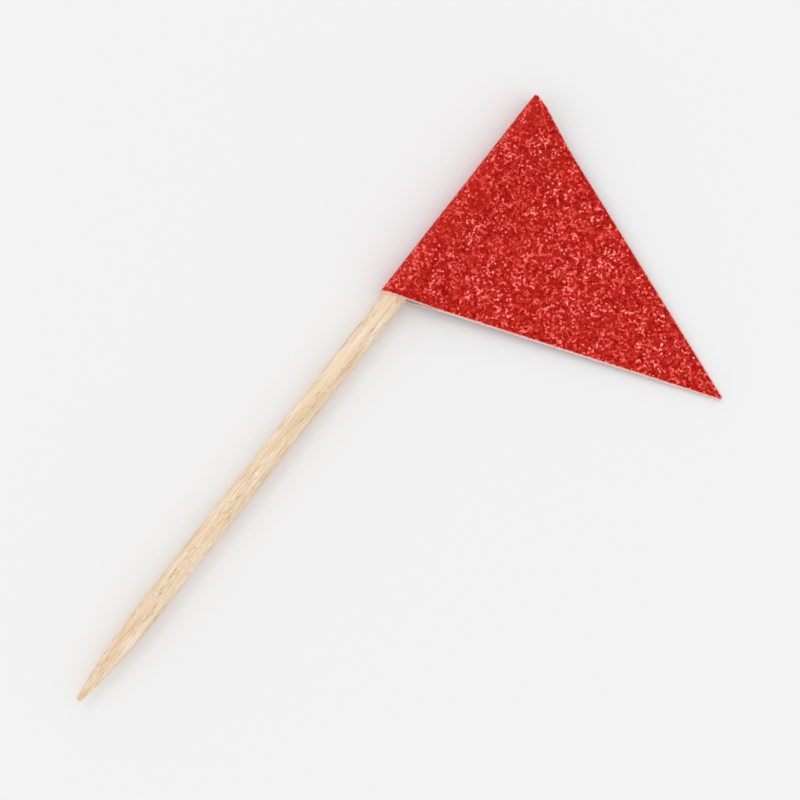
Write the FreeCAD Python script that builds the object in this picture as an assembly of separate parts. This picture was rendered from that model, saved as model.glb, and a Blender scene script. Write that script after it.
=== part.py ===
import FreeCAD, Part
import math
import os

# Flag toothpick: a round wooden pick, with a pennant of glitter paper folded round its blunt end.
# It lies at rest on a table. +X runs along the pick from its point to the flag, the flag flies
# towards -Y and +Z is up. The origin is on the table, under the middle of the part. Millimetres.

# The turned wooden pick
STICK_LENGTH = 65.0
STICK_DIAMETER = 2.0
POINT_LENGTH = 8.5
POINT_END_DIAMETER = 0.5
POINT_END_ROUNDING = 0.12
POINT_BELLY = 0.12  # how far the side of the point bows out from a straight cone
CUT_END_CHAMFER = 0.1

# The sheet of paper, as it is cut before folding
PAPER_THICKNESS = 0.3
FLAG_HOIST = 22.5  # width of the sheet along the fold
TIP_WIDTH = 0.3  # width left at each blunt tip
WIDE_CORNER_FLAT = 1.6  # length cut straight across the fold at each wide corner

# The sheet folded round the stick
FLAG_FLY = 29.5  # from the outside of the fold to the tips
FLAG_PAST_STICK = 2.0  # how far the fold stands past the cut end of the stick
GLUE_FILM = 0.02
WEDGE_LENGTH = 3.0  # from the side of the stick to the line where the two leaves meet
LEAF_BEND_RADIUS = 3.0  # outside of the easy bend that turns each leaf into the flat

# How finely the cut edges follow a curve, and how far the cuts run past the paper's faces
CURVE_POINTS = 9
CUT_OVERRUN = 0.15

# Values that follow from the sizes above
stick_radius = STICK_DIAMETER / 2
inner_radius = stick_radius + GLUE_FILM
middle_radius = inner_radius + PAPER_THICKNESS / 2
outer_radius = inner_radius + PAPER_THICKNESS
bare_length = STICK_LENGTH + FLAG_PAST_STICK - FLAG_HOIST
part_length = bare_length + FLAG_HOIST

# Half the angle at which the leaves leave the stick, and the centre of the bend into the flat.
# Distances "out" run from the stick's axis towards the tips, and "up" from the flag's middle plane.
leaf_angle = math.asin(inner_radius / (stick_radius + WEDGE_LENGTH))
bend_up = PAPER_THICKNESS + LEAF_BEND_RADIUS
bend_out = (outer_radius + LEAF_BEND_RADIUS - bend_up * math.cos(leaf_angle)) / math.sin(leaf_angle)
tip_out = FLAG_FLY - outer_radius

# Lengths along the middle of one leaf, from the fold line to the tip
wrap_length = middle_radius * (math.pi / 2 + leaf_angle)
slope_length = bend_out * math.cos(leaf_angle) - bend_up * math.sin(leaf_angle)
bend_middle_radius = LEAF_BEND_RADIUS + PAPER_THICKNESS / 2
bend_length = bend_middle_radius * leaf_angle
flat_length = tip_out - bend_out
leaf_length = wrap_length + slope_length + bend_length + flat_length

# How fast each cut edge runs in towards the tip, for each millimetre of leaf
cut_rise = (FLAG_HOIST - TIP_WIDTH) / 2 / (leaf_length - WIDE_CORNER_FLAT / 2)

# The part rests on the underside of the fold and on the tip, so the flag leans by this angle
tip_reach = math.hypot(tip_out, PAPER_THICKNESS)
lean = math.asin(outer_radius / tip_reach) - math.atan2(PAPER_THICKNESS, tip_out)


def at(along, out, up):
    """Point along the stick's axis, out towards the tips and up from the flag's middle plane."""
    return FreeCAD.Vector(along, -out, up)


def arc(start, middle, end):
    return Part.Arc(start, middle, end).toShape()


def line(start, end):
    return Part.LineSegment(start, end).toShape()


def make_toothpick():
    """Stick turned round, with a slightly bellied point and a chamfered cut end."""
    end_radius = POINT_END_DIAMETER / 2
    cone = FreeCAD.Vector(POINT_LENGTH, stick_radius - end_radius, 0)
    belly = FreeCAD.Vector(-cone.y, cone.x, 0).normalize() * POINT_BELLY
    point_end = FreeCAD.Vector(0, end_radius, 0)
    point_start = FreeCAD.Vector(POINT_LENGTH, stick_radius, 0)
    chamfer_start = FreeCAD.Vector(STICK_LENGTH - CUT_END_CHAMFER, stick_radius, 0)
    chamfer_end = FreeCAD.Vector(STICK_LENGTH, stick_radius - CUT_END_CHAMFER, 0)
    axis_start = FreeCAD.Vector(0, 0, 0)
    axis_end = FreeCAD.Vector(STICK_LENGTH, 0, 0)
    profile = Part.Wire([
        line(axis_start, point_end),
        arc(point_end, (point_end + point_start) / 2 + belly, point_start),
        line(point_start, chamfer_start),
        line(chamfer_start, chamfer_end),
        line(chamfer_end, axis_end),
        line(axis_end, axis_start),
    ])
    stick = Part.Face(profile).revolve(axis_start, FreeCAD.Vector(1, 0, 0), 360)
    rim = [e for e in stick.Edges if e.BoundBox.XMax < POINT_END_ROUNDING / 2]
    return stick.makeFillet(POINT_END_ROUNDING, rim)


def bend_point(along, radius, turn):
    """Point of the bend into the flat, at a radius, where the leaf still has this turn to make."""
    return at(along, bend_out - radius * math.sin(turn), bend_up - radius * math.cos(turn))


def mirrored(point):
    """The same point on the lower leaf."""
    return FreeCAD.Vector(point.x, point.y, -point.z)


def fold_outline(radius, slope_end):
    """Up one slope, round the back of the stick at a radius, and down the other slope."""
    wrap_end = at(0, radius * math.sin(leaf_angle), radius * math.cos(leaf_angle))
    return [
        line(slope_end, wrap_end),
        arc(wrap_end, at(0, -radius, 0), mirrored(wrap_end)),
        line(mirrored(wrap_end), mirrored(slope_end)),
    ]


def leaf_outline(point_on_leaf):
    """Outside of one leaf, through the bend and along the flat to the tip."""
    slope_end = point_on_leaf(bend_point(0, LEAF_BEND_RADIUS, leaf_angle))
    bend_middle = point_on_leaf(bend_point(0, LEAF_BEND_RADIUS, leaf_angle / 2))
    flat_start = point_on_leaf(bend_point(0, LEAF_BEND_RADIUS, 0))
    tip = point_on_leaf(at(0, tip_out, PAPER_THICKNESS))
    return [arc(slope_end, bend_middle, flat_start), line(flat_start, tip)]


def folded_sheet():
    """The fold's section run along the stick for the full hoist, before the edges are cut."""
    outside = fold_outline(outer_radius, bend_point(0, LEAF_BEND_RADIUS, leaf_angle))
    outside += leaf_outline(FreeCAD.Vector) + leaf_outline(mirrored)
    tip = at(0, tip_out, PAPER_THICKNESS)
    outside.append(line(tip, mirrored(tip)))
    inside = fold_outline(inner_radius, at(0, stick_radius + WEDGE_LENGTH, 0))
    loop = Part.Face(Part.Wire(inside))
    section = Part.Face(Part.Wire(Part.sortEdges(outside)[0])).cut(loop)
    return section.extrude(at(FLAG_HOIST, 0, 0))


def ruling(distance):
    """Line through the upper leaf, square to the paper, at a distance from the fold line.

    Its ends run past both faces of the paper. Along the stick it lies on the cut edge. The near
    ends come to the middle plane where the slope ends, and stay on it from there to the tip.
    """
    along = cut_rise * (distance - WIDE_CORNER_FLAT / 2)
    bend_start = wrap_length + slope_length
    flat_start = bend_start + bend_length
    near = middle_radius + bend_middle_radius - bend_up / math.cos(leaf_angle)
    far = outer_radius + CUT_OVERRUN
    if distance <= wrap_length:
        turn = distance / middle_radius
        return [at(along, -r * math.cos(turn), r * math.sin(turn)) for r in (near, far)]
    if distance <= bend_start:
        run = distance - wrap_length
        foot = at(along, run * math.cos(leaf_angle), -run * math.sin(leaf_angle))
        square = at(0, math.sin(leaf_angle), math.cos(leaf_angle))
        return [foot + square * near, foot + square * far]
    if distance <= flat_start:
        turn = leaf_angle - (distance - bend_start) / bend_middle_radius
        radii = (bend_up / math.cos(turn), LEAF_BEND_RADIUS - CUT_OVERRUN)
        return [bend_point(along, r, turn) for r in radii]
    out = bend_out + distance - flat_start
    return [at(along, out, 0), at(along, out, PAPER_THICKNESS + CUT_OVERRUN)]


def edge_through(points):
    if len(points) == 2:
        return line(points[0], points[1])
    curve = Part.BSplineCurve()
    curve.interpolate(points)
    return curve.toShape()


def cut_away():
    """What is cut off both leaves on the side of the pick's point, as one solid for each stretch.

    The sheet is cut flat and then folded, so the cut edge climbs round the stick with the paper.
    """
    slope_end = wrap_length + slope_length
    bend_end = slope_end + bend_length
    stretches = [
        (0, wrap_length, CURVE_POINTS),
        (wrap_length, slope_end, 2),
        (slope_end, bend_end, CURVE_POINTS),
        (bend_end, leaf_length + CUT_OVERRUN, 2),
    ]
    pieces = []
    for start, end, count in stretches:
        step = (end - start) / (count - 1)
        rulings = [ruling(start + step * i) for i in range(count)]
        near = edge_through([r[0] for r in rulings])
        far = edge_through([r[1] for r in rulings])
        upper = Part.makeRuledSurface(near, far).extrude(at(-FLAG_HOIST, 0, 0))
        pieces += [upper, upper.mirror(at(0, 0, 0), at(0, 0, 1))]
    return pieces


def make_paper_flag():
    """The sheet folded round the stick and glued leaf to leaf, with both cut edges."""
    middle = at(FLAG_HOIST / 2, 0, 0)
    near_point = cut_away()
    far_side = [piece.mirror(middle, at(1, 0, 0)) for piece in near_point]
    flag = folded_sheet().cut(near_point + far_side).removeSplitter()
    flag.translate(at(bare_length, 0, 0))
    return flag.Solids[0]


def lay_on_table(shape):
    """Lean the flag down until its tip touches, with the origin under the middle of the part."""
    reach = tip_out * math.cos(lean) + PAPER_THICKNESS * math.sin(lean)
    shape.rotate(at(0, 0, 0), at(1, 0, 0), math.degrees(lean))
    shape.translate(FreeCAD.Vector(-part_length / 2, (reach - outer_radius) / 2, outer_radius))
    return shape


def main():
    os.makedirs("parts", exist_ok=True)
    lay_on_table(make_toothpick()).exportStep("parts/toothpick.step")
    lay_on_table(make_paper_flag()).exportStep("parts/paper_flag.step")


main()
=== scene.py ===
import bpy
import math
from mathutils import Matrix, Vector


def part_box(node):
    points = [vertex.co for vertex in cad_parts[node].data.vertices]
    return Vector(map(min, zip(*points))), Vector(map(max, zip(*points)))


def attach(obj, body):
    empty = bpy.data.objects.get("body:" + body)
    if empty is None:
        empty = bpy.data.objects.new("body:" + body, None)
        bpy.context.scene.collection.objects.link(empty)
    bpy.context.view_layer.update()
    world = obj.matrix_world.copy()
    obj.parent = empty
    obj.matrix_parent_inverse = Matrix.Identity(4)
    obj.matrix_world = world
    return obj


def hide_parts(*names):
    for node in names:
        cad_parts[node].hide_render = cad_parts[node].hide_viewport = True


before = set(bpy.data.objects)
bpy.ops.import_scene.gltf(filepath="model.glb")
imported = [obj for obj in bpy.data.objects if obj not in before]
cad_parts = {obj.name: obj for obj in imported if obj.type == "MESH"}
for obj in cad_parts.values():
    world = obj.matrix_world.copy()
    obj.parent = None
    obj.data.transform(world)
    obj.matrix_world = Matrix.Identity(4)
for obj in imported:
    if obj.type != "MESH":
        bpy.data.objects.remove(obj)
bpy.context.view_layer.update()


# The toothpick
# A stick of pale wood, turned round, brought to a blunt point at one end and sawn off square at
# the other. It is left bare, so its fibres, a few dark flecks and small torn spots show.

MM = 0.001

stick_low, stick_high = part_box("toothpick")
stick_length = stick_high.x - stick_low.x
stick_radius = (stick_high.z - stick_low.z) / 2
stick_y = (stick_low.y + stick_high.y) / 2
stick_z = (stick_low.z + stick_high.z) / 2
POINT_LENGTH = 8.5 * MM
POINT_END_RADIUS = 0.25 * MM
POINT_END_ROUNDING = 0.12 * MM
POINT_BELLY = 0.12 * MM  # how far the side of the point bows out from a straight cone
CUT_END_CHAMFER = 0.1 * MM

STICK_SIDES = 96
RING_SPACING = 0.55 * MM
POINT_END_RINGS = 5
GROOVE_WIDTH = 0.15 * MM
GROOVE_DEPTH = 0.022 * MM
GROOVE_RUN = 40  # how many times longer than wide a groove between the fibres is


def deselect_all():
    bpy.ops.object.select_all(action="DESELECT")


def radius_of_point(distance):
    """Radius of the stick at a distance from its point, short of the full diameter."""
    if distance < POINT_END_ROUNDING:
        drop = POINT_END_ROUNDING - distance
        side = math.sqrt(POINT_END_ROUNDING**2 - drop**2)
        return POINT_END_RADIUS - POINT_END_ROUNDING + side
    share = distance / POINT_LENGTH
    straight = POINT_END_RADIUS + (stick_radius - POINT_END_RADIUS) * share
    bow = POINT_BELLY * 4 * share * (1 - share)  # a parabola, highest halfway
    return straight + bow


deselect_all()
bpy.ops.mesh.primitive_circle_add(
    vertices=STICK_SIDES, radius=radius_of_point(0), fill_type="NGON",
    location=(stick_low.x, stick_y, stick_z), rotation=(0, -math.pi / 2, 0))
stick = bpy.context.object
stick.name = stick.data.name = "bare_toothpick"
bpy.ops.object.transform_apply(location=True, rotation=True, scale=True)

# Rings from the point to the chamfer, close together where the point is rounded
rings = [POINT_END_ROUNDING * (1 - math.cos(math.pi / 2 * i / POINT_END_RINGS))
         for i in range(1, POINT_END_RINGS + 1)]
shank = stick_length - CUT_END_CHAMFER - POINT_END_ROUNDING
shank_rings = round(shank / RING_SPACING)
rings += [POINT_END_ROUNDING + shank / shank_rings * i for i in range(1, shank_rings + 1)]

bpy.ops.object.mode_set(mode="EDIT")
last_ring = 0
last_radius = radius_of_point(0)
for ring in rings + [stick_length]:
    if ring == stick_length:
        radius = stick_radius - CUT_END_CHAMFER
    elif ring < POINT_LENGTH:
        radius = radius_of_point(ring)
    else:
        radius = stick_radius
    bpy.ops.mesh.extrude_region_move(TRANSFORM_OT_translate={"value": (ring - last_ring, 0, 0)})
    growth = radius / last_radius
    bpy.ops.transform.resize(
        value=(1, growth, growth), center_override=(stick_low.x + ring, stick_y, stick_z))
    last_ring = ring
    last_radius = radius
bpy.ops.mesh.select_all(action="SELECT")
bpy.ops.mesh.normals_make_consistent(inside=False)
bpy.ops.object.mode_set(mode="OBJECT")

# The fibres: long grooves pressed into the round by a texture drawn out along the stick
groove_frame = bpy.data.objects.new("groove_frame", None)
bpy.context.scene.collection.objects.link(groove_frame)
groove_frame.scale = (GROOVE_RUN, 1, 1)
grooves = bpy.data.textures.new("fibre_grooves", "CLOUDS")
grooves.noise_scale = GROOVE_WIDTH
grooves.noise_depth = 2
carve = stick.modifiers.new("fibre_grooves", "DISPLACE")
carve.texture = grooves
carve.texture_coords = "OBJECT"
carve.texture_coords_object = groove_frame
carve.mid_level = 1
carve.strength = GROOVE_DEPTH
bpy.context.view_layer.objects.active = stick
bpy.ops.object.modifier_apply(modifier=carve.name)
bpy.data.objects.remove(groove_frame)
deselect_all()
stick.select_set(True)
bpy.ops.object.shade_smooth_by_angle(angle=math.radians(40))


def give(tree, socket, value):
    """Link an input to another node's output, or set it. A colour is (red, green, blue)."""
    if isinstance(value, bpy.types.NodeSocket):
        tree.links.new(value, socket)
    elif socket.type == "RGBA":
        socket.default_value = (*value, 1)
    else:
        socket.default_value = value


def give_all(tree, node, inputs):
    for name, value in inputs.items():
        give(tree, node.inputs[name], value)


def add_node(tree, kind, inputs, **settings):
    """A shader node with its settings, and with its inputs given by name or by number."""
    made = tree.nodes.new(kind)
    for name, value in settings.items():
        setattr(made, name, value)
    give_all(tree, made, inputs)
    return made


def new_material(name):
    made = bpy.data.materials.new(name)
    made.use_nodes = True
    return made, made.node_tree, made.node_tree.nodes["Principled BSDF"]


def calculate(tree, operation, *values, clamp=False):
    """One step of arithmetic on numbers and other nodes' outputs."""
    inputs = dict(enumerate(values))
    made = add_node(tree, "ShaderNodeMath", inputs, operation=operation, use_clamp=clamp)
    return made.outputs["Value"]


def fade(tree, value, none, full):
    """0 where the value is at none, 1 where it is at full, and a soft step in between."""
    return add_node(tree, "ShaderNodeMapRange", {
        "Value": value, "From Min": none, "From Max": full,
    }, interpolation_type="SMOOTHSTEP").outputs["Result"]


def colour_ramp(tree, value, stops):
    """Colours by value: stops are (position, colour)."""
    made = add_node(tree, "ShaderNodeValToRGB", {"Fac": value})
    ramp = made.color_ramp
    while len(ramp.elements) < len(stops):
        ramp.elements.new(1)
    for element, (position, colour) in zip(ramp.elements, stops):
        element.position = position
        element.color = (*colour, 1)
    return made.outputs["Color"]


def mixed(tree, share, first, second):
    """The first colour where the share is 0, the second where it is 1."""
    made = add_node(tree, "ShaderNodeMix", {"Factor": share}, data_type="RGBA")
    colour_inputs = [socket for socket in made.inputs if socket.type == "RGBA"]
    give(tree, colour_inputs[0], first)
    give(tree, colour_inputs[1], second)
    return [socket for socket in made.outputs if socket.type == "RGBA"][0]


def bump(tree, height, distance):
    return add_node(tree, "ShaderNodeBump", {
        "Strength": 0.5, "Distance": distance, "Height": height}).outputs["Normal"]


def streaks(tree, length, width, offset, detail=2):
    """Noise from 0 to 1 in cells of this length along the stick and this width across it.

    Each offset moves the pattern to a place of its own in the noise.
    """
    place = add_node(tree, "ShaderNodeMapping", {
        "Vector": add_node(tree, "ShaderNodeTexCoord", {}).outputs["Object"],
        "Location": (offset, offset, offset),
        "Scale": (1 / length, 1 / width, 1 / width),
    }).outputs["Vector"]
    return add_node(tree, "ShaderNodeTexNoise", {
        "Vector": place, "Scale": 1, "Detail": detail, "Roughness": 0.6}).outputs["Fac"]


def clustered(tree, marks, offset):
    """Marks that come in runs along the stick, with clean wood between the runs."""
    runs = streaks(tree, length=5 * MM, width=0.7 * MM, offset=offset, detail=1)
    return calculate(tree, "MULTIPLY", marks, fade(tree, runs, none=0.44, full=0.60))


FINE_GRAIN_SHARE = 0.6
# pale torn fibres, with their highlights painted into the colour
FIBRE_HIGHLIGHT_COLOUR = (0.97, 0.88, 0.75)
DARK_FLECK_COLOUR = (0.42, 0.22, 0.10)
DARK_FLECK_STRENGTH = 0.82

wood, tree, shader = new_material("pale_wood")
broad = streaks(tree, length=12 * MM, width=0.6 * MM, offset=0)
fine = streaks(tree, length=5 * MM, width=0.10 * MM, offset=7)
grain = calculate(tree, "MULTIPLY", fine, FINE_GRAIN_SHARE)
grain = calculate(tree, "MULTIPLY_ADD", broad, 1 - FINE_GRAIN_SHARE, grain)
tone = colour_ramp(tree, grain, [
    (0.36, (0.69, 0.46, 0.27)),
    (0.46, (0.82, 0.615, 0.415)),
    (0.54, (0.88, 0.685, 0.49)),
    (0.64, (0.94, 0.775, 0.60)),
])

# Torn fibres, paler wood with a painted highlight where they catch the light, and flecks
# where the grain is open
pale_fibre_highlights = streaks(tree, length=1.1 * MM, width=0.09 * MM, offset=11)
pale_fibre_highlights = fade(tree, pale_fibre_highlights, none=0.535, full=0.61)
pale_fibre_highlights = clustered(tree, pale_fibre_highlights, offset=17)
tone = mixed(tree, pale_fibre_highlights, tone, FIBRE_HIGHLIGHT_COLOUR)
dark_flecks = streaks(tree, length=0.9 * MM, width=0.07 * MM, offset=3)
dark_flecks = fade(tree, dark_flecks, none=0.565, full=0.65)
dark_flecks = clustered(tree, dark_flecks, offset=29)
dark_flecks = calculate(tree, "MULTIPLY", dark_flecks, DARK_FLECK_STRENGTH)
tone = mixed(tree, dark_flecks, tone, DARK_FLECK_COLOUR)
give_all(tree, shader, {
    "Base Color": tone,
    "Roughness": 0.62,
    "Specular IOR Level": 0.3,
    "Normal": bump(tree, fine, 0.03 * MM),
})
stick.data.materials.append(wood)

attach(stick, "root")
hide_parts("toothpick")


# The paper flag
# One sheet of glitter paper, cut flat as a double pennant, folded round the blunt end of the
# stick and glued to itself leaf to leaf. The glitter is on the outside, the back is bare paper.

paper_low, paper_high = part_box("paper_flag")
flag_hoist = paper_high.x - paper_low.x
PAPER_THICKNESS = 0.3 * MM
GLUE_FILM = 0.02 * MM
LEAF_GAP = 0.01 * MM  # hairline left between the glued leaves, so that each keeps its own face
TIP_WIDTH = 0.3 * MM
WIDE_CORNER_FLAT = 1.6 * MM  # length cut straight across the fold at each wide corner
FLAG_FLY = 29.5 * MM  # from the outside of the fold to the tips
WEDGE_LENGTH = 3 * MM  # from the side of the stick to the line where the two leaves meet
LEAF_BEND_RADIUS = 3 * MM  # outside of the easy bend that turns each leaf into the flat

# "Out" runs from the stick's axis towards the tips, and "up" from the flag's middle plane
inner_radius = stick_radius + GLUE_FILM
middle_radius = inner_radius + PAPER_THICKNESS / 2
outer_radius = inner_radius + PAPER_THICKNESS
leaf_angle = math.asin(inner_radius / (stick_radius + WEDGE_LENGTH))
bend_up = PAPER_THICKNESS + LEAF_BEND_RADIUS
bend_run = outer_radius + LEAF_BEND_RADIUS - bend_up * math.cos(leaf_angle)
bend_out = bend_run / math.sin(leaf_angle)
tip_out = FLAG_FLY - outer_radius
tip_reach = math.hypot(tip_out, PAPER_THICKNESS)
lean = math.asin(outer_radius / tip_reach) - math.atan2(PAPER_THICKNESS, tip_out)

# Lengths along the middle of one leaf, from the fold line to the tip
wrap_length = middle_radius * (math.pi / 2 + leaf_angle)
slope_length = bend_out * math.cos(leaf_angle) - bend_up * math.sin(leaf_angle)
bend_middle_radius = LEAF_BEND_RADIUS + PAPER_THICKNESS / 2
bend_length = bend_middle_radius * leaf_angle
leaf_length = wrap_length + slope_length + bend_length + tip_out - bend_out

# How fast each cut edge runs in towards the tip, for each length of leaf
cut_rise = (flag_hoist - TIP_WIDTH) / 2 / (leaf_length - WIDE_CORNER_FLAT / 2)

FACET = 0.19 * MM  # size of one facet of the sheet, a little more than one flake of glitter
FACET_SHAKE = 0.33 * FACET
FACET_RELIEF = 0.018 * MM

# The flat sheet: its fold line on the X axis, its two leaves to either side. A grid of facets a
# little larger than the sheet is shaken, laid flat again and cut to the sheet's outline.
deselect_all()
bpy.ops.mesh.primitive_grid_add(
    x_subdivisions=round(flag_hoist / FACET) + 2, y_subdivisions=round(2 * leaf_length / FACET) + 2,
    size=1, location=(0, 0, 0))
sheet = bpy.context.object
sheet.name = sheet.data.name = "glitter_flag"
sheet.scale = (flag_hoist + 2 * FACET, 2 * leaf_length + 2 * FACET, 1)
sheet.location = (flag_hoist / 2, 0, 0)
bpy.ops.object.transform_apply(location=True, rotation=True, scale=True)

bpy.ops.object.mode_set(mode="EDIT")
bpy.ops.mesh.select_all(action="SELECT")
bpy.ops.transform.vertex_random(offset=FACET_SHAKE, uniform=1, normal=0, seed=4)
bpy.ops.transform.resize(value=(1, 1, 0), center_override=(0, 0, 0))

# Each cut is a point of its line, and the direction of what falls away
cuts = [((0, side * leaf_length), (0, side)) for side in (1, -1)]
for end, away in ((0, -1), (flag_hoist, 1)):
    cuts.append(((end, 0), (away, 0)))
    cuts += [((end, side * WIDE_CORNER_FLAT / 2), (away, side * cut_rise)) for side in (1, -1)]
for place, direction in cuts:
    bpy.ops.mesh.select_all(action="SELECT")
    bpy.ops.mesh.bisect(
        plane_co=(*place, 0), plane_no=(*direction, 0), clear_outer=True, threshold=1e-8)
bpy.ops.mesh.select_all(action="SELECT")
bpy.ops.mesh.remove_doubles(threshold=0.02 * MM)
bpy.ops.mesh.quads_convert_to_tris(quad_method="BEAUTY", ngon_method="BEAUTY")
bpy.ops.transform.translate(value=(0, 0, PAPER_THICKNESS / 2))
bpy.ops.object.mode_set(mode="OBJECT")

# The sheet's own flat pattern, in millimetres, stays with it as its UV map
flat_pattern = sheet.data.uv_layers.active
flat_pattern.name = "flat_pattern"
for loop in sheet.data.loops:
    place = sheet.data.vertices[loop.vertex_index].co
    flat_pattern.data[loop.index].uv = (place.x / MM, place.y / MM)

# The glitter: small flat flakes of red foil at all tilts, in a clear red binder. Some flakes
# stand on edge or lie in short curls, and their glints are painted into the colour as lighter
# strokes. Its sizes are in millimetres, as the flat pattern is.
FLAKE = 0.155
FLAKE_TILT = 0.7
FLAKE_SHINE = 0.50  # of the brightest flake that lies flat
FOIL_SHARE = 0.6  # share of the surface that is bare metal
CLOUDS_IN_A_MM = 1.1
CLOUD_SHADE = 0.20
STROKE_WIDTH = 0.165
STROKE_BOW = 3.5
STROKE_HOLD = 0.7  # how far a light stroke keeps to the outlines of whole flakes
# light of the strokes, which are glints painted into the colour
PAINTED_GLINT_LIGHT = 0.8
DULLEST_GLINT = 0.80
BRIGHT_GLINT_RARITY = 1.5
PATCHES_IN_A_MM = 0.45
PAINTED_GLINT_PATCH_LIGHT = 0.3  # added to the strokes' light in the brighter patches of the sheet
# the fold's band is painted lighter, with a painted highlight along its ridge
RUBBED_PAINTED_SHINE = 0.50
RUBBED_PAINTED_SHARE = 0.12
PAINTED_RIDGE_LIGHT = 0.065
FRAYS_IN_A_MM = 5
FRAY_DEPTH = 0.14
BARED_PAPER_COLOUR = (0.93, 0.56, 0.51)
BARED_STRENGTH = 0.8


def vector_step(tree, operation, *values):
    """One step of arithmetic on points and directions."""
    inputs = dict(enumerate(values))
    return add_node(tree, "ShaderNodeVectorMath", inputs, operation=operation).outputs["Vector"]


def noise(tree, place, scale, detail):
    return add_node(tree, "ShaderNodeTexNoise", {
        "Vector": place, "Scale": scale, "Detail": detail,
    }, noise_dimensions="2D").outputs["Fac"]


def cells(tree, place, size):
    """Irregular cells of about this size: each one's middle, and three draws from 0 to 1."""
    made = add_node(tree, "ShaderNodeTexVoronoi", {
        "Vector": place, "Scale": 1 / size, "Randomness": 1}, voronoi_dimensions="2D")
    draws = add_node(tree, "ShaderNodeSeparateColor", {"Color": made.outputs["Color"]})
    return made, draws.outputs


def toward(tree, value, goal, share):
    """Value moved towards a goal by a share of the way."""
    gap = calculate(tree, "SUBTRACT", goal, value)
    return calculate(tree, "MULTIPLY_ADD", gap, share, value)


def strokes(tree, place, spacing, length, rare):
    """Short bowed strokes of painted glint, one in each cell, each lying its own way and as bright
    as it may be.

    A cell has its stroke where its draw from 0 to 1 is above "rare", at full light from 0.9 up.
    """
    cell, draw = cells(tree, place, spacing)
    offset = vector_step(tree, "SUBTRACT", place, cell.outputs["Position"])
    offset = add_node(tree, "ShaderNodeSeparateXYZ", {"Vector": offset}).outputs
    turn = calculate(tree, "MULTIPLY", draw["Red"], 2 * math.pi)
    cosine = calculate(tree, "COSINE", turn)
    sine = calculate(tree, "SINE", turn)
    along = calculate(tree, "MULTIPLY", offset["Y"], sine)
    along = calculate(tree, "MULTIPLY_ADD", offset["X"], cosine, along)
    across = calculate(tree, "SUBTRACT", calculate(tree, "MULTIPLY", offset["Y"], cosine),
                       calculate(tree, "MULTIPLY", offset["X"], sine))
    bow = calculate(tree, "MULTIPLY", draw["Green"], STROKE_BOW)
    bow = calculate(tree, "MULTIPLY", calculate(tree, "MULTIPLY", along, along), bow)
    across = calculate(tree, "ABSOLUTE", calculate(tree, "SUBTRACT", across, bow))
    along = calculate(tree, "ABSOLUTE", along)

    # It fades over its ends and its sides
    within_length = fade(tree, along, none=0.6 * length, full=0.4 * length)
    within_width = fade(tree, across, none=0.7 * STROKE_WIDTH, full=0.2 * STROKE_WIDTH)
    stroke = calculate(tree, "MULTIPLY", within_length, within_width)
    return calculate(tree, "MULTIPLY", stroke, fade(tree, draw["Blue"], none=rare, full=0.9))


glitter, tree, shader = new_material("red_glitter")
flat = add_node(tree, "ShaderNodeUVMap", {}, uv_map="flat_pattern").outputs["UV"]
flakes, flake_draw = cells(tree, flat, FLAKE)
flake_place = flakes.outputs["Position"]

# Each flake is as bright as its own draw says, and the flakes of a cloud are a little duller
clouds = noise(tree, flake_place, CLOUDS_IN_A_MM, detail=1)
clouds = fade(tree, clouds, none=0.60, full=0.40)
most_shine = calculate(tree, "MULTIPLY_ADD", clouds, -CLOUD_SHADE, FLAKE_SHINE)
shine = calculate(tree, "MULTIPLY", flake_draw["Red"], most_shine)

# The light strokes are painted glints, long ones first, each broken up by the flakes that it
# crosses. The second layer is moved aside, so that its strokes don't lie on those of the first.
broken = vector_step(tree, "SUBTRACT", flake_place, flat)
broken = vector_step(tree, "MULTIPLY", broken, (STROKE_HOLD,) * 3)
broken = vector_step(tree, "ADD", flat, broken)
shifted = vector_step(tree, "ADD", broken, (3.7, 1.9, 0))
light = 0.0
for place, spacing, length, rare in (
        (broken, 0.80, 0.70, 0.20),
        (shifted, 0.68, 0.54, 0.20),
        (broken, 0.42, 0.29, 0.35),
        (broken, 0.29, 0.14, 0.40)):
    light = calculate(tree, "MAXIMUM", light, strokes(tree, place, spacing, length, rare))
patches = noise(tree, flake_place, PATCHES_IN_A_MM, detail=1)
patches = fade(tree, patches, none=0.34, full=0.60)
most_light = calculate(tree, "MULTIPLY_ADD", patches, PAINTED_GLINT_PATCH_LIGHT, PAINTED_GLINT_LIGHT)
light = calculate(tree, "MULTIPLY", light, most_light)
# Each stroke lifts its flakes towards a painted glint, a few of them much brighter than the rest
glint = calculate(tree, "POWER", flake_draw["Green"], BRIGHT_GLINT_RARITY)
glint = calculate(tree, "MULTIPLY_ADD", glint, 1 - DULLEST_GLINT, DULLEST_GLINT)
shine = toward(tree, shine, glint, light)

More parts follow.
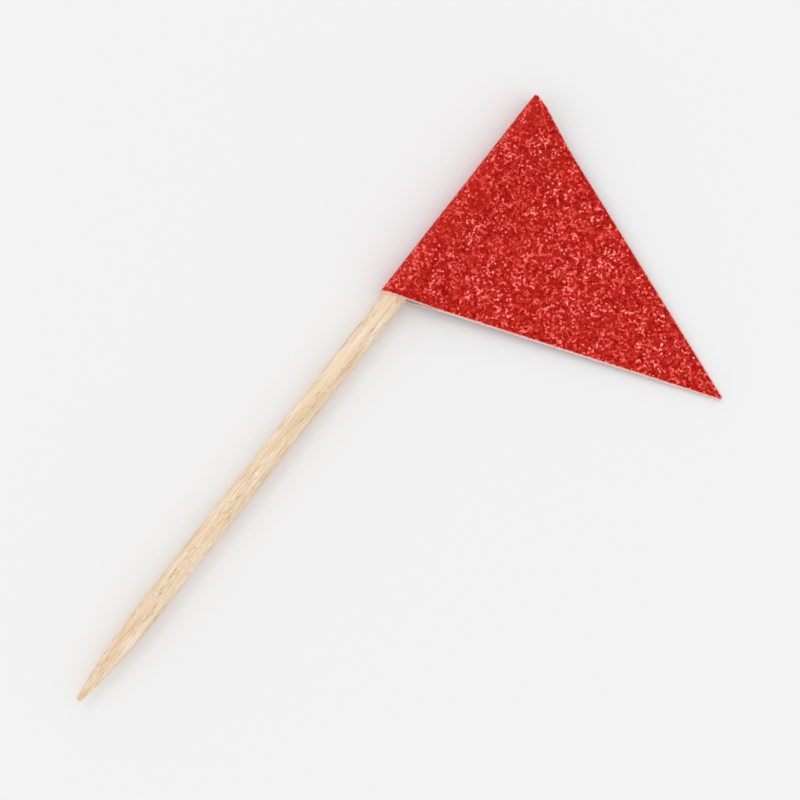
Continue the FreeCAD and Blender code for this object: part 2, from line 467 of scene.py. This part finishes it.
# Where the sheet is folded round the stick its glitter is rubbed a little smoother and
# painted lighter, and a painted highlight runs along its ridge at the fold
flat_place = add_node(tree, "ShaderNodeSeparateXYZ", {"Vector": flat}).outputs
from_fold = calculate(tree, "ABSOLUTE", flat_place["Y"])
rubbed_and_painted_lighter = fade(tree, from_fold, none=4.0, full=1.8)
rubbed_and_painted_lighter = calculate(tree, "MULTIPLY", rubbed_and_painted_lighter, RUBBED_PAINTED_SHARE)
shine = toward(tree, shine, RUBBED_PAINTED_SHINE, rubbed_and_painted_lighter)
painted_ridge_highlight = fade(tree, from_fold, none=1.7, full=0.9)
shine = calculate(tree, "MULTIPLY_ADD", painted_ridge_highlight, PAINTED_RIDGE_LIGHT, shine)
foil = colour_ramp(tree, shine, [
    (0.00, (0.33, 0.0035, 0.0025)),
    (0.17, (0.455, 0.0115, 0.0075)),
    (0.34, (0.55, 0.0210, 0.0155)),
    (0.50, (0.655, 0.0400, 0.0300)),
    (0.64, (0.77, 0.0660, 0.0510)),
    (0.76, (0.90, 0.107, 0.088)),
    (0.86, (1.00, 0.165, 0.140)),
    (1.00, (1.00, 0.37, 0.32)),
])

# The glitter ends a little short of the cut edges, where the paper under it shows
edge_run = calculate(tree, "SUBTRACT", from_fold, WIDE_CORNER_FLAT / 2 / MM)
edge_run = calculate(tree, "MULTIPLY", calculate(tree, "MAXIMUM", edge_run, 0.0), cut_rise)
other_side = calculate(tree, "SUBTRACT", flag_hoist / MM, flat_place["X"])
nearest = calculate(tree, "MINIMUM", flat_place["X"], other_side)
from_edge = calculate(tree, "SUBTRACT", nearest, edge_run)
fray = calculate(tree, "MULTIPLY", noise(tree, flat, FRAYS_IN_A_MM, detail=2), FRAY_DEPTH)
bared = fade(tree, calculate(tree, "ADD", from_edge, fray), none=0.19, full=0.13)
foil = mixed(tree, calculate(tree, "MULTIPLY", bared, BARED_STRENGTH), foil, BARED_PAPER_COLOUR)

# Each flake faces its own way
tilt = vector_step(tree, "SUBTRACT", flakes.outputs["Color"], (0.5, 0.5, 0.5))
tilt = vector_step(tree, "MULTIPLY", tilt, (FLAKE_TILT,) * 3)
outward = add_node(tree, "ShaderNodeNewGeometry", {}).outputs["Normal"]
give_all(tree, shader, {
    "Base Color": foil,
    "Metallic": calculate(tree, "MULTIPLY_ADD", bared, -FOIL_SHARE, FOIL_SHARE),
    "Roughness": 0.36,
    "Specular IOR Level": 0.15,
    "Specular Tint": (1.0, 0.40, 0.35),
    "Normal": vector_step(tree, "NORMALIZE", vector_step(tree, "ADD", outward, tilt)),
})
sheet.data.materials.append(glitter)

# Bare paper: white pulp, stained by the red binder under the glitter and darker along the glue.
# Depths are in millimetres from the middle of the paper towards its glitter side.
PULP_SIZE = 0.14 * MM
RAGGED = 0.22  # how far the pulp breaks up the lines between the layers
GLUED_COLOUR = (0.66, 0.50, 0.45)
GLUED_STRENGTH = 0.7
STAINED_COLOUR = (0.62, 0.09, 0.075)
STAINED_STRENGTH = 0.85

paper, tree, shader = new_material("bare_paper")
place = add_node(tree, "ShaderNodeTexCoord", {}).outputs["Object"]
pulp = add_node(tree, "ShaderNodeTexNoise", {
    "Vector": place, "Scale": 1 / PULP_SIZE, "Detail": 3}).outputs["Fac"]
tone = colour_ramp(tree, pulp, [(0.35, (0.82, 0.65, 0.61)), (0.65, (0.95, 0.83, 0.79))])
depth = add_node(tree, "ShaderNodeAttribute", {}, attribute_name="paper_depth").outputs["Fac"]
depth = calculate(tree, "MULTIPLY_ADD", calculate(tree, "SUBTRACT", pulp, 0.5), RAGGED, depth)
glued = fade(tree, depth, none=-0.10, full=-0.15)
tone = mixed(tree, calculate(tree, "MULTIPLY", glued, GLUED_STRENGTH), tone, GLUED_COLOUR)
stained = fade(tree, depth, none=0.05, full=0.16)
tone = mixed(tree, calculate(tree, "MULTIPLY", stained, STAINED_STRENGTH), tone, STAINED_COLOUR)
give_all(tree, shader, {
    "Base Color": tone,
    "Roughness": 0.85,
    "Specular IOR Level": 0.25,
    "Normal": bump(tree, pulp, 0.02 * MM),
})
sheet.data.materials.append(paper)

# The sheet's thickness, with bare paper on the back and on the cut edges
wall = sheet.modifiers.new("thickness", "SOLIDIFY")
wall.thickness = PAPER_THICKNESS - LEAF_GAP
wall.offset = -1
wall.material_offset = 1
wall.material_offset_rim = 1
bpy.context.view_layer.objects.active = sheet
bpy.ops.object.modifier_apply(modifier=wall.name)

# The flakes stand at slightly different heights, none above the sheet's outside
for vertex in sheet.data.vertices:
    vertex.select = vertex.co.z > 0
bpy.ops.object.mode_set(mode="EDIT")
bpy.ops.transform.vertex_random(offset=FACET_RELIEF, uniform=0, normal=1, seed=9)
bpy.ops.transform.translate(value=(0, 0, -FACET_RELIEF))
bpy.ops.object.mode_set(mode="OBJECT")

# Every point keeps its depth in the paper, for the layers that its cut edges show
paper_depth = sheet.data.attributes.new("paper_depth", "FLOAT", "POINT")
for vertex in sheet.data.vertices:
    paper_depth.data[vertex.index].value = vertex.co.z / MM


def leaf_point(distance, lift):
    """Out and up, from the stick's axis, of a point of the upper leaf.

    Distance runs from the fold line along the middle of the paper, and lift from the middle of
    the paper towards its glitter side.
    """
    bend_start = wrap_length + slope_length
    flat_start = bend_start + bend_length
    if distance < wrap_length:
        turn = distance / middle_radius
        radius = middle_radius + lift
        return -radius * math.cos(turn), radius * math.sin(turn)
    if distance < bend_start:
        run = distance - wrap_length
        radius = middle_radius + lift
        out = run * math.cos(leaf_angle) + radius * math.sin(leaf_angle)
        return out, radius * math.cos(leaf_angle) - run * math.sin(leaf_angle)
    if distance < flat_start:
        turn = leaf_angle - (distance - bend_start) / bend_middle_radius
        radius = bend_middle_radius - lift
        return bend_out - radius * math.sin(turn), bend_up - radius * math.cos(turn)
    return bend_out + distance - flat_start, PAPER_THICKNESS / 2 + lift


# Folding is done point by point, because no tool rolls a sheet and keeps its length. Both leaves
# are folded over their backs, which turns every face round, so the faces are flipped after it.
for vertex in sheet.data.vertices:
    along, distance, lift = vertex.co
    out, up = leaf_point(abs(distance), lift)
    up = math.copysign(up, distance)
    vertex.co = (
        paper_low.x + along,
        stick_y - out * math.cos(lean) - up * math.sin(lean),
        stick_z - out * math.sin(lean) + up * math.cos(lean))
sheet.data.flip_normals()
sheet.data.update()

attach(sheet, "root")
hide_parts("paper_flag")


# The table, the light and the camera
# A plain white table, one broad soft light from the upper left and even light all round. The
# camera looks down as in the photograph, and sets the stick's point where it is there.

STICK_TURN = math.radians(52.5)  # how far the stick is turned up from level in the photograph
PHOTO_SCALE = 0.1485 * MM  # of one pixel of the photograph, at the table
STICK_POINT_PIXEL = (427, 645)
PHOTO_MIDDLE_PIXEL = (400, 400)
CAMERA_HEIGHT_ANGLE = math.radians(80)
CAMERA_DISTANCE = 400 * MM
AIM = Vector((4.5 * MM, 7.5 * MM, 1.0 * MM))  # what stands in the middle of the picture
FRAME_WIDTH = 70 * MM
SENSOR = 36.0
TABLE_WIDTH = 3.0
EVEN_LIGHT = 0.95
SEEN_WHITE = 0.9  # level of the white all round that the camera and reflections see
KEY_HEIGHT_ANGLE = math.radians(55)
KEY_SPREAD = math.radians(20)  # how wide the light is, seen from the table

photo_right = Vector((math.cos(STICK_TURN), -math.sin(STICK_TURN), 0))
photo_up = Vector((math.sin(STICK_TURN), math.cos(STICK_TURN), 0))
overhead = Vector((0, 0, 1))
sideways = (PHOTO_MIDDLE_PIXEL[0] - STICK_POINT_PIXEL[0]) * PHOTO_SCALE
upward = (STICK_POINT_PIXEL[1] - PHOTO_MIDDLE_PIXEL[1]) * PHOTO_SCALE
upward = upward / math.sin(CAMERA_HEIGHT_ANGLE)
photo_middle = Vector((stick_low.x, stick_y, 0)) + photo_right * sideways + photo_up * upward
camera_side = overhead * math.sin(CAMERA_HEIGHT_ANGLE) - photo_up * math.cos(CAMERA_HEIGHT_ANGLE)
camera_place = photo_middle + CAMERA_DISTANCE * camera_side

back = (camera_place - AIM).normalized()
right = photo_up.cross(back).normalized()
camera_data = bpy.data.cameras.new("camera")
camera = bpy.data.objects.new("camera", camera_data)
bpy.context.scene.collection.objects.link(camera)
turn = camera.matrix_world.to_3x3()
turn.col[0] = right
turn.col[1] = back.cross(right)
turn.col[2] = back
camera.matrix_world = turn.to_4x4()
camera.location = camera_place
camera_data.sensor_width = SENSOR
camera_data.lens = SENSOR * (camera_place - AIM).length / FRAME_WIDTH
camera_data.clip_start = 10 * MM
camera_data.clip_end = 10
bpy.context.scene.camera = camera

deselect_all()
bpy.ops.mesh.primitive_plane_add(size=TABLE_WIDTH, location=(0, 0, 0))
table = bpy.context.object
table.name = table.data.name = "table"
table_top, tree, shader = new_material("white_table")
give_all(tree, shader, {
    "Base Color": (0.895, 0.895, 0.902),
    "Roughness": 0.9,
    "Specular IOR Level": 0,
})
table.data.materials.append(table_top)

key_data = bpy.data.lights.new("key", "SUN")
key_data.energy = (1 - EVEN_LIGHT) * math.pi / math.sin(KEY_HEIGHT_ANGLE)
key_data.angle = KEY_SPREAD
key = bpy.data.objects.new("key", key_data)
bpy.context.scene.collection.objects.link(key)
upper_left = (photo_up - photo_right).normalized()
key_side = upper_left * math.cos(KEY_HEIGHT_ANGLE) + overhead * math.sin(KEY_HEIGHT_ANGLE)
key.rotation_mode = "QUATERNION"
key.rotation_quaternion = key_side.to_track_quat("Z", "Y")

world = bpy.data.worlds.new("even_light")
bpy.context.scene.world = world
world.use_nodes = True
tree = world.node_tree
ray = add_node(tree, "ShaderNodeLightPath", {}).outputs
seen = calculate(tree, "ADD", ray["Is Camera Ray"], ray["Is Glossy Ray"])
seen = calculate(tree, "ADD", seen, ray["Is Transmission Ray"], clamp=True)
strength = add_node(tree, "ShaderNodeMapRange", {
    "Value": seen, "From Min": 0, "From Max": 1, "To Min": EVEN_LIGHT, "To Max": SEEN_WHITE})
give_all(tree, tree.nodes["Background"], {
    "Color": (1, 1, 1),
    "Strength": strength.outputs["Result"],
})

bpy.context.scene.view_settings.view_transform = "Standard"
